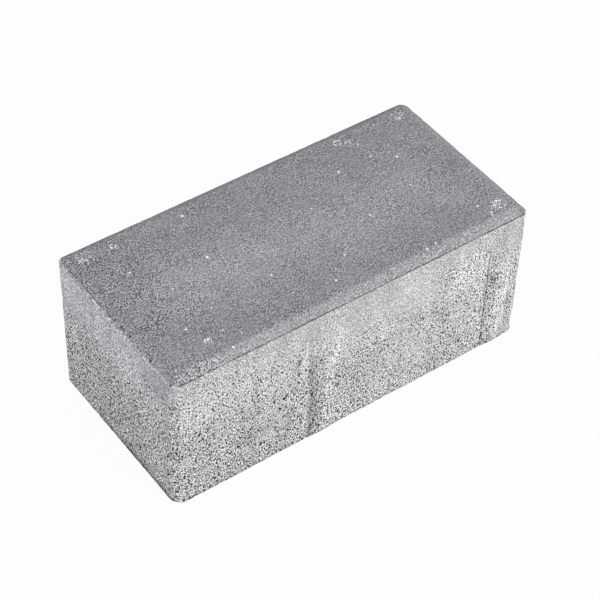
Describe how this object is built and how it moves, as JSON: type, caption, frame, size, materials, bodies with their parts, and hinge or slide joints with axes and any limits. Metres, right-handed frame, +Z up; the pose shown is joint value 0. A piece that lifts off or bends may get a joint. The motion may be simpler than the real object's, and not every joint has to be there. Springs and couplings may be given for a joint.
{
  "type": "concrete paving stone",
  "caption": "Rectangular pressed concrete block paver with a bevelled wear face, rounded upright corners and low spacer nibs on its long sides.",
  "frame": {"origin": "centre of the bed face, the flat underside that the stone lies on", "axes": "+X along the length, +Y across the width, +Z up from the bed face to the wear face"},
  "size_m": [0.198, 0.0988, 0.081],
  "materials": {
    "concrete": "pressed grey concrete, fine dark wear face, coarse open sides"
  },
  "bodies": {
    "root": {"paving_stone": "concrete"}
  },
  "joints": []
}
